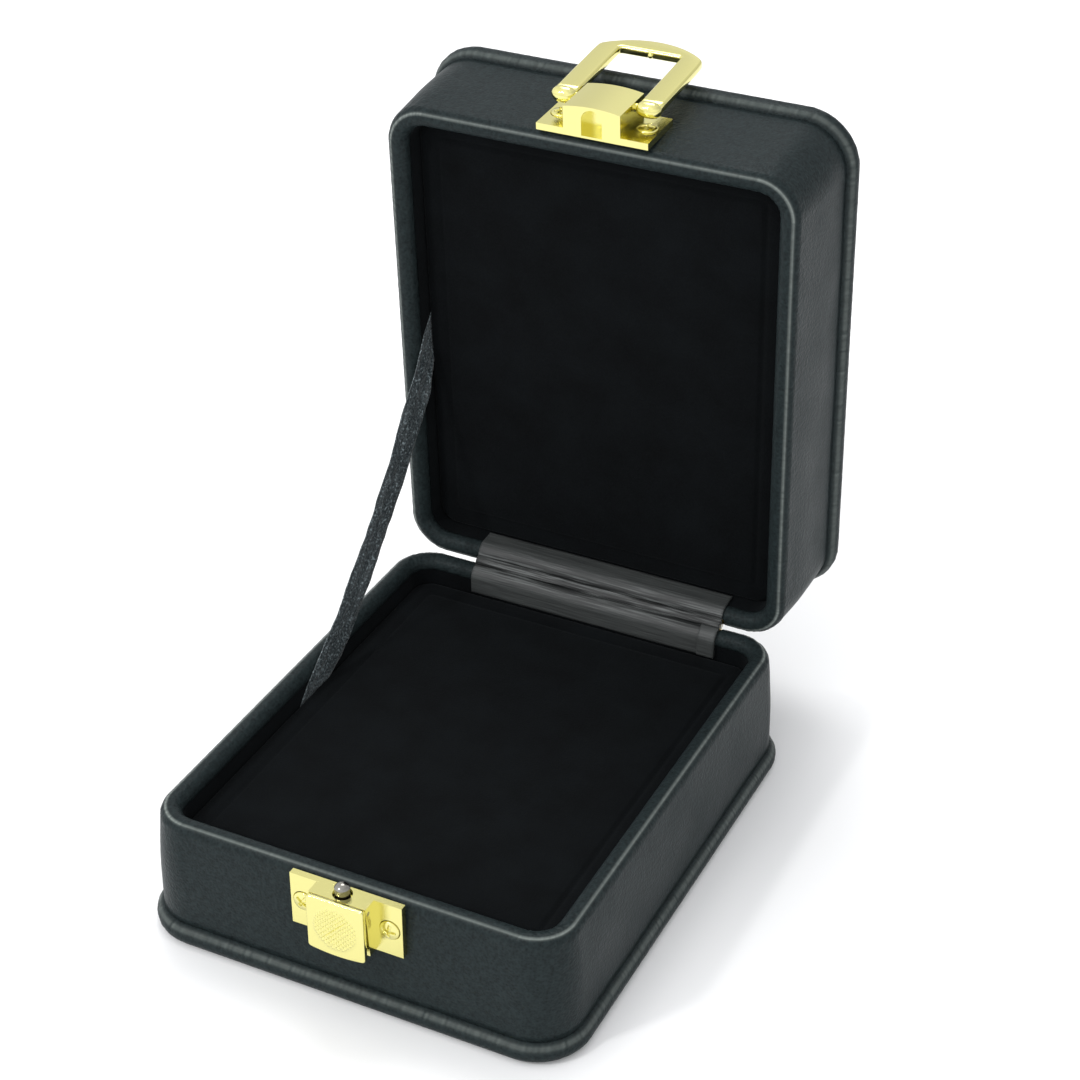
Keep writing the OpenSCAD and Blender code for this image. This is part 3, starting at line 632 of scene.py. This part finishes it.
# painted glints: pale colour on the threads' highest points
painted_glints = add(satin_ribbon, "ShaderNodeValToRGB", None, {"Fac": thread.outputs["Fac"]})
painted_glints.color_ramp.elements[0].position = 0.54
painted_glints.color_ramp.elements[0].color = linear("293235")
painted_glints.color_ramp.elements[1].position = 0.72
painted_glints.color_ramp.elements[1].color = linear("94a3a7")
satin_ribbon.node_tree.links.new(painted_glints.outputs["Color"], ribbon_shader.inputs["Base Color"])
thread_bump = add(satin_ribbon, "ShaderNodeBump", None,
                  {"Strength": 0.9, "Distance": 0.16 * MM, "Height": thread.outputs["Fac"]})
satin_ribbon.node_tree.links.new(thread_bump.outputs["Normal"], ribbon_shader.inputs["Normal"])

ribbon_w = 6 * MM
ribbon_tab = 7 * MM
ribbon_t = 0.15 * MM
ribbon_x = (ribbon_low.x + ribbon_high.x) / 2
tuck = hinge.z - pad_high.z
near = Vector((0, ribbon_y - hinge.y, -tuck))
far = Matrix.Rotation(-open_angle, 3, "X") @ Vector((0, ribbon_y - hinge.y, tuck))
run = (far - near).normalized()
side_way = Vector((0, -run.z, run.y))
free = (far - near).length
ribbon_sag = 3.5 * MM
ribbon_twist = math.radians(10)
stations = np.linspace(-ribbon_tab, free + ribbon_tab, 170)
widths = np.linspace(-ribbon_w / 2, ribbon_w / 2, 17)
points = np.zeros((len(stations), len(widths), 3))
for i, s in enumerate(stations):
    slack = 4 * s / free * (1 - s / free) if 0 < s < free else 0
    loose = min(1, max(0, s / (8 * MM))) * min(1, max(0, (free - s) / (8 * MM)))
    twist = ribbon_twist * loose
    for j, w in enumerate(widths):
        place = hinge + near + run * s + side_way * (w * math.cos(twist) - ribbon_sag * slack)
        ripple = (0.42 * noise.noise(Vector((s / (9 * MM), w / (1.1 * MM), 71)))
                  + 0.14 * noise.noise(Vector((s / (2.5 * MM), w / (0.7 * MM), 83)))) * MM
        points[i, j] = place
        off_tab = ripple * (0.15 + 0.85 * loose) + 0.5 * MM * loose
        points[i, j, 0] = ribbon_x + off_tab - w * math.sin(twist)
ribbon = skin("ribbon_satin", points, satin_ribbon, closed=False)
thicken(ribbon, ribbon_t)
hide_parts("ribbon_stay")
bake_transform(ribbon)

# ---- Lock, catch and screws ----
# Die-cast zinc, polished and plated in a pale gold. The plating is mirror bright on flat
# faces, a little hazy from handling, and warmer where one gold face reflects another.
gold, gold_shader = new_material("zinc die casting, pale gold plate", "e4dd92", 0.1, Metallic=1.0)
haze = add(gold, "ShaderNodeTexNoise", None, {"Scale": 1 / (3 * MM), "Detail": 5, "Roughness": 0.6})
polish = add(gold, "ShaderNodeMapRange", None,
             {"Value": haze.outputs["Fac"], "To Min": 0.03, "To Max": 0.13})
gold.node_tree.links.new(polish.outputs[0], gold_shader.inputs["Roughness"])
gold_ripple = add(gold, "ShaderNodeTexNoise", None, {"Scale": 1 / (1.2 * MM), "Detail": 2})
gold_bump = add(gold, "ShaderNodeBump", None,
                {"Strength": 0.12, "Distance": 0.05 * MM, "Height": gold_ripple.outputs["Fac"]})
gold.node_tree.links.new(gold_bump.outputs["Normal"], gold_shader.inputs["Normal"])


def soften(piece, width):
    """Rounds the casting's sharp edges a little."""
    bevel = piece.modifiers.new("cast edges", "BEVEL")
    bevel.width = width
    bevel.segments = 2
    bevel.limit_method = "ANGLE"
    bevel.angle_limit = math.radians(50)


for node in ("lock_body", "catch_body"):
    finish_node(node, gold)
    soften(frame["nodes"][node], 0.12 * MM)
finish_node("bail_pins", gold)
for node in ("lock_stud", "lock_pivot_pin"):
    finish_node(node, steel)


# ---- Screws ----
# Small cross-head screws, turned from steel and plated like the castings. Their shallow
# domed heads stand a little proud of the countersink, with a dark ring round them.
screws_low, screws_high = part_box("lock_screws")
screw_z = (screws_low.z + screws_high.z) / 2
head_r = (screws_high.z - screws_low.z) / 2
ring_gap = 0.14 * MM
dome = 0.4 * MM
shank_r = 0.9 * MM
shank_end = screws_high.y
cross_arm = 1.15 * MM
cross_wide = 0.26 * MM
cross_deep = 0.55 * MM


def step(value, edge, soft):
    """1 well below an edge and 0 well above it."""
    return np.clip(0.5 - (value - edge) / soft, 0, 1)


screw_turn = np.radians(np.arange(0, 360, 3.75))
for half, lid, node in (("base", False, "lock_screws"), ("lid", True, "catch_screws")):
    heads = []
    for number, x in enumerate((screws_low.x + head_r, screws_high.x - head_r)):
        radii = np.concatenate([[shank_r, shank_r, head_r - ring_gap, head_r - ring_gap],
                                np.linspace(head_r - ring_gap - 0.07 * MM, 0.03 * MM, 24)])
        proud = np.concatenate([[screws_low.y - shank_end, -1.0 * MM, -0.06 * MM, 0.1 * MM],
                                0.15 * MM + dome * (1 - (radii[4:] / head_r) ** 2)])
        a = screw_turn[:, None] + 0.6 + 1.1 * number
        along = radii[None, :] * np.cos(screw_turn)[:, None]
        up = radii[None, :] * np.sin(screw_turn)[:, None]
        turned_x = abs(radii[None, :] * np.cos(a))
        turned_z = abs(radii[None, :] * np.sin(a))
        arms = np.maximum(step(turned_x, cross_arm, 0.12 * MM) * step(turned_z, cross_wide, 0.1 * MM),
                          step(turned_z, cross_arm, 0.12 * MM) * step(turned_x, cross_wide, 0.1 * MM))
        arms[:, :4] = 0
        points = np.stack([x + along, screws_low.y - proud[None, :] + cross_deep * arms,
                           screw_z + up], axis=2)
        heads.append(skin(node + str(number), points, gold, lid, first_cap=True, last_cap=True))
    screws = join(half + "_cross_head_screws", heads)
    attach(screws, half)
    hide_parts(node)

# ---- Button ----
# Its plate hangs in front of the housing. The face has a round field of pressed diamond
# points for the thumb, and the lower edge is curved. A lever and two aprons go in behind.
button_low, button_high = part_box("lock_button")
button_t = 0.8 * MM
button_sag = 0.5 * MM
button_corner = 0.5 * MM
button_edge = 0.16 * MM
button_mid = Vector(((button_low.x + button_high.x) / 2, button_low.y,
                     (button_low.z + button_sag + button_high.z) / 2))
button_half_wide = (button_high.x - button_low.x) / 2
button_half_high = (button_high.z - button_low.z - button_sag) / 2
point_pitch = 0.9 * MM
point_high = 0.28 * MM
field_r = 3.9 * MM
outline = foot_line(0.16 * MM, button_half_wide, button_half_high, button_corner)
round_over = np.radians([0, 30, 60, 90])
insets = np.concatenate([[0, 0], button_edge * (1 - np.cos(round_over))])
depths = np.concatenate([[button_t, button_t * 0.6], button_edge * (1 - np.sin(round_over))])
shares = np.linspace(1, 0.01, 62)[1:]
edge = np.stack([outline[:, 0:1] - outline[:, 2:3] * insets,
                 outline[:, 1:2] - outline[:, 3:4] * insets], axis=2)
face = edge[:, -1:, :] * shares[None, :, None]
# the back is hollowed a little, as the casting is
hollow = outline[:, None, :2] * np.array([0.78, 0.82])[None, :, None]
flat = np.concatenate([hollow, edge, face], axis=1)
depth = np.broadcast_to(np.concatenate([[button_t - 0.25 * MM, button_t], depths, np.zeros(len(shares))]),
                        flat.shape[:2]).copy()
rising = (flat[..., 0] + flat[..., 1]) / point_pitch
falling = (flat[..., 0] - flat[..., 1]) / point_pitch
field = step(np.hypot(flat[..., 0], flat[..., 1]), field_r, 0.5 * MM)
field[:, :4] = 0
depth -= point_high * field * (abs(np.sin(np.pi * rising)) * abs(np.sin(np.pi * falling))) ** 0.8
fall = np.clip(-flat[..., 1] / button_half_high, 0, 1)
drop = button_sag * (1 - (flat[..., 0] / button_half_wide) ** 2) * fall
points = np.stack([button_mid.x + flat[..., 0], button_mid.y + depth,
                   button_mid.z + flat[..., 1] - drop], axis=2)
plate = skin("button_plate", points, gold, first_cap=True, last_cap=True)


def block(name, low, high, material, edge_width):
    """A closed block with rounded edges, between two corners."""
    corners = [(x, y, z) for x in (low[0], high[0]) for y in (low[1], high[1]) for z in (low[2], high[2])]
    faces = [(0, 1, 3, 2), (4, 6, 7, 5), (0, 4, 5, 1), (2, 3, 7, 6), (0, 2, 6, 4), (1, 5, 7, 3)]
    mesh = bpy.data.meshes.new(name)
    mesh.from_pydata(corners, [], faces)
    mesh.materials.append(material)
    piece = bpy.data.objects.new(name, mesh)
    bpy.context.scene.collection.objects.link(piece)
    soften(piece, edge_width)
    return piece


stud_low, stud_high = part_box("lock_stud")
pivot = Vector(joints["button_rock"]["pos_m"])
lever_half = button_half_wide - 1.05 * MM
behind = button_low.y + button_t - 0.1 * MM
apron_t = 0.6 * MM
apron_deep = 2.1 * MM
arm_low = stud_low.z
arm_high = arm_low + 1.6 * MM
arm_half = 1.8 * MM
blocks = [block("lever bar", (pivot.x - lever_half, behind, pivot.z - 0.75 * MM),
                (pivot.x + lever_half, pivot.y + 0.75 * MM, arm_high), gold, 0.1 * MM),
          block("lever arm", (pivot.x - arm_half, pivot.y, arm_low),
                (pivot.x + arm_half, stud_high.y, arm_high), gold, 0.1 * MM)]
for side in (-1, 1):
    edges = sorted((pivot.x + side * lever_half, pivot.x + side * (lever_half - apron_t)))
    blocks.append(block("apron", (edges[0], behind, plate_low.z + 0.3 * MM),
                        (edges[1], behind + apron_deep, pivot.z), gold, 0.08 * MM))
lever = join("button_lever", blocks)
for piece in (plate, lever):
    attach(piece, "button")
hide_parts("lock_button")

# ---- Leaf spring ----
# A strip of spring steel, fixed high inside the lock, that bends forward to the button's
# back and pushes its lower half out. In the real lock it bends further back as the button is pressed; here
# it is drawn at rest.
spring_low, spring_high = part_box("lock_spring")
leaf_t = 0.3 * MM
leaf_rise = 2 * MM
leaf_heights = np.concatenate([[spring_high.z], np.linspace(spring_high.z - leaf_rise, spring_low.z, 12)])
leaf_backs = np.concatenate([[spring_high.y], np.linspace(spring_high.y, spring_low.y + leaf_t, 12)])
leaf_sides = ((spring_low.x, leaf_t), (spring_high.x, leaf_t), (spring_high.x, 0), (spring_low.x, 0))
points = np.array([[(x, y - forward, z) for y, z in zip(leaf_backs, leaf_heights)]
                   for x, forward in leaf_sides])
leaf = skin("button_leaf_spring", points[:, ::-1], steel, first_cap=True, last_cap=True)
leaf.data.shade_flat()
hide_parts("lock_spring")
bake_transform(leaf)

# ---- Bail ----
# A flat cast handle with rounded edges. Its far bar is arched and carries a small pip, and
# its legs end in short barrels, riveted to the catch's block so tightly that it stays put.
bail_low, bail_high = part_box("bail")
bail_pivot = Vector(joints["bail_swing"]["pos_m"])
bail_half = (bail_high.x - bail_low.x) / 2
leg_w = 4.1 * MM
bail_t = 1.6 * MM
bail_open = 17.7 * MM
bail_bar = 3.9 * MM
bail_lean = 3
inner_half = bail_half - leg_w
inner_corner = 0.5 * MM
arch_r = (bail_half ** 2 + bail_bar ** 2) / (2 * bail_bar)
arch_y = bail_open + bail_bar - arch_r
bail_turn = Matrix.Rotation(math.pi / 2 - open_angle + math.radians(bail_lean), 4, "X")
to_bail = Matrix.Translation(bail_pivot) @ bail_turn


def bail_rim(x):
    """How far out the arch of the far bar is at x."""
    return arch_y + math.sqrt(arch_r ** 2 - x ** 2)


# pairs of points, on the inner and on the outer edge, from one leg's end to the middle
pairs = [((inner_half, y), (bail_half, y)) for y in np.linspace(0, bail_open - inner_corner, 10)[:-1]]
corner = (inner_half - inner_corner, bail_open - inner_corner)
for a in np.radians(np.linspace(0, 90, 25)[:-1]):
    ray = (math.cos(a), math.sin(a))
    to_leg = (bail_half - corner[0]) / max(ray[0], 0.05)
    b = corner[0] * ray[0] + (corner[1] - arch_y) * ray[1]
    c = corner[0] ** 2 + (corner[1] - arch_y) ** 2 - arch_r ** 2
    to_arch = -b + math.sqrt(b * b - c)
    blend = 0.35 * MM
    reach_out = -blend * math.log(math.exp(-to_leg / blend) + math.exp(-to_arch / blend))
    pairs.append(((corner[0] + inner_corner * ray[0], corner[1] + inner_corner * ray[1]),
                  (corner[0] + reach_out * ray[0], corner[1] + reach_out * ray[1])))
pairs += [((x, bail_open), (x, bail_rim(x))) for x in np.linspace(corner[0], 0, 9)]
pairs += [((-i[0], i[1]), (-o[0], o[1])) for i, o in pairs[-2::-1]]
bail_edge = 0.5 * MM
quarter = np.radians([0, 22.5, 45, 67.5, 90])
rows = []
for inner, outer in pairs:
    inner, outer = np.array(inner), np.array(outer)
    wide = np.linalg.norm(outer - inner)
    along = (outer - inner) / wide
    loop = []
    for turn, from_inner, height in ((0, wide - bail_edge, bail_t / 2 - bail_edge),
                                     (1, bail_edge, bail_t / 2 - bail_edge),
                                     (2, bail_edge, bail_edge - bail_t / 2),
                                     (3, wide - bail_edge, bail_edge - bail_t / 2)):
        for a in quarter + turn * math.pi / 2:
            place = inner + along * (from_inner + bail_edge * math.cos(a))
            loop.append((place[0], place[1], height + bail_edge * math.sin(a)))
    rows.append(loop)
# the loop round the section is the closed way, and the stations run along the handle
bow = skin("bow", np.array(rows).transpose(1, 0, 2)[::-1], gold, first_cap=True, last_cap=True)
barrel_r = 1.42 * MM
barrel_turn = np.radians(np.arange(0, 360, 7.5))
parts = [bow]
for side in (-1, 1):
    middle = side * (inner_half + leg_w / 2)
    ends = np.sin(np.radians([-90, -75, -60, -40, -20, 0, 20, 40, 60, 75, 90]))
    wide = middle + ends * (leg_w / 2 + 0.2 * MM)
    radius = np.maximum(barrel_r * np.sqrt(np.maximum(1 - abs(ends) ** 3, 0)), 0.05 * MM)
    points = np.stack([np.broadcast_to(wide, (len(barrel_turn), len(wide))),
                       np.cos(barrel_turn)[:, None] * radius - 0.3 * MM,
                       np.sin(barrel_turn)[:, None] * radius], axis=2)
    parts.append(skin("barrel", points, gold, first_cap=True, last_cap=True))
pip_turn = np.radians(np.arange(0, 360, 15))
pip_rise = np.radians([0, 30, 60, 88])
pip_r = 0.55 * MM
points = np.stack([np.cos(pip_turn)[:, None] * np.cos(pip_rise) * pip_r,
                   bail_open + 0.05 * MM - np.broadcast_to(np.sin(pip_rise) * pip_r, (len(pip_turn), 4)),
                   np.sin(pip_turn)[:, None] * np.cos(pip_rise) * pip_r - 0.1 * MM], axis=2)
parts.append(skin("pip", points, gold, first_cap=True, last_cap=True))
bail = join("bail_handle", parts)
bail.data.transform(to_bail)
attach(bail, "bail")
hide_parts("bail")
